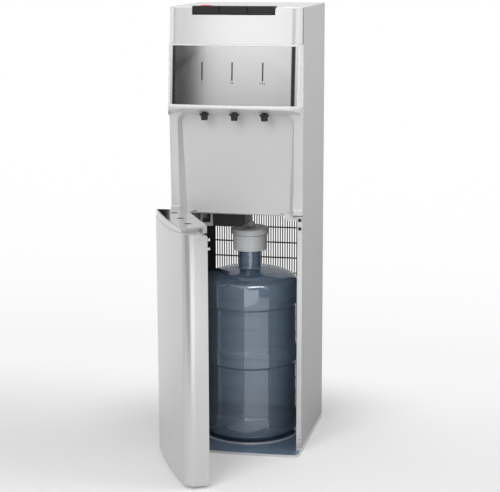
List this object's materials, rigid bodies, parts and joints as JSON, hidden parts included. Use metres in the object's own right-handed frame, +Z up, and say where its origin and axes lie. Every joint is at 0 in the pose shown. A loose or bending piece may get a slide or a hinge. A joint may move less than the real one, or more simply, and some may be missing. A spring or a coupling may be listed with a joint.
{
  "type": "water dispenser",
  "caption": "Floor-standing water cooler with a hinged door over a bottle bay, a drip tray on the door, a dispensing niche with nozzles and push buttons on top.",
  "frame": {"origin": "centre of the base tray's underside, on the floor", "axes": "+Z up, the front with its nozzles and door faces -Y, +X to the right of someone who looks at the front"},
  "size_m": [0.3392, 0.5896, 1.0498],
  "materials": {
    "shell_silver": "satin silver moulding",
    "shell_white": "gloss silver-white moulding",
    "cabinet_paint": "satin grey paint",
    "dark_metal": "satin black paint",
    "brushed_panel": "brushed",
    "bare_steel": "plain",
    "grid_steel": "polished",
    "black_plastic": "matte",
    "button_black": "semi-gloss",
    "lock_red": "gloss",
    "soft_rubber": "matte",
    "probe_plastic": "satin",
    "hose_silicone": "translucent white",
    "bottle_blue": "clear blue polycarbonate",
    "foam": "expanded foam",
    "board": "circuit board",
    "inner_white": "matte"
  },
  "bodies": {
    "cabinet": {"base_tray": "shell_silver", "base_pads": "soft_rubber", "left_side_panel": "cabinet_paint", "right_side_panel": "cabinet_paint", "top_cover": "shell_silver", "lower_front_frame": "shell_silver", "machine_deck": "cabinet_paint", "back_guard": "dark_metal", "rear_cover": "cabinet_paint", "rear_screws": "bare_steel", "niche_shell": "shell_silver", "control_bezel": "shell_white", "steel_panel": "brushed_panel", "indicator_lenses": "black_plastic", "display_board": "board", "fascia": "shell_white", "switch_board": "board", "spring_hot": "bare_steel", "spring_room": "bare_steel", "spring_cold": "bare_steel", "nozzle_hot": "black_plastic", "nozzle_room": "black_plastic", "nozzle_cold": "black_plastic", "dispense_valves": "black_plastic", "upper_hinge_bracket": "bare_steel", "lower_hinge_bracket": "bare_steel", "catch_block": "black_plastic", "bottle": "bottle_blue", "probe_collar": "probe_plastic", "probe_cap": "probe_plastic", "probe_boot": "probe_plastic", "dip_tube": "inner_white", "supply_hose": "hose_silicone", "hose_grommet": "soft_rubber", "pump_housing": "black_plastic", "pump_bracket": "cabinet_paint", "water_pump": "inner_white", "compressor": "dark_metal", "compressor_mounts": "soft_rubber", "cold_tank": "bare_steel", "cold_tank_jacket": "foam", "hot_tank": "bare_steel", "water_lines": "hose_silicone", "control_box": "inner_white", "condenser_tube": "dark_metal", "condenser_wires": "dark_metal", "condenser_clips": "black_plastic", "drain_and_inlet": "black_plastic"},
    "door": {"door_skin": "shell_silver", "door_liner": "shell_silver", "door_cap_top": "shell_silver", "door_cap_bottom": "shell_silver", "catch_studs": "probe_plastic"},
    "tray": {"drip_tray": "shell_silver"},
    "grid": {"drip_grid": "grid_steel"},
    "hot_button": {"button_hot": "button_black"},
    "room_button": {"button_room": "button_black"},
    "cold_button": {"button_cold": "button_black"},
    "safety_slider": {"child_lock": "lock_red"}
  },
  "joints": [
    {"name": "door_hinge", "type": "hinge", "parent": "cabinet", "child": "door", "pos_m": [-0.148, -0.15, 0.29], "axis": [0, 0, -1], "range_deg": [-62.5, 35]},
    {"name": "tray_lift", "type": "slide", "parent": "door", "child": "tray", "axis": [0, 0, 1], "range_m": [0, 0.05]},
    {"name": "grid_lift", "type": "slide", "parent": "tray", "child": "grid", "axis": [0, 0, 1], "range_m": [0, 0.03]},
    {"name": "hot_press", "type": "slide", "parent": "cabinet", "child": "hot_button", "axis": [0, 0, -1], "range_m": [0, 0.0035], "stiffness_N_per_m": 350, "springref_m": -0.002, "deforming": ["spring_hot"]},
    {"name": "room_press", "type": "slide", "parent": "cabinet", "child": "room_button", "axis": [0, 0, -1], "range_m": [0, 0.0035], "stiffness_N_per_m": 350, "springref_m": -0.002, "deforming": ["spring_room"]},
    {"name": "cold_press", "type": "slide", "parent": "cabinet", "child": "cold_button", "axis": [0, 0, -1], "range_m": [0, 0.0035], "stiffness_N_per_m": 350, "springref_m": -0.002, "deforming": ["spring_cold"]},
    {"name": "safety_slide", "type": "slide", "parent": "hot_button", "child": "safety_slider", "axis": [1, 0, 0], "range_m": [0, 0.005]}
  ]
}
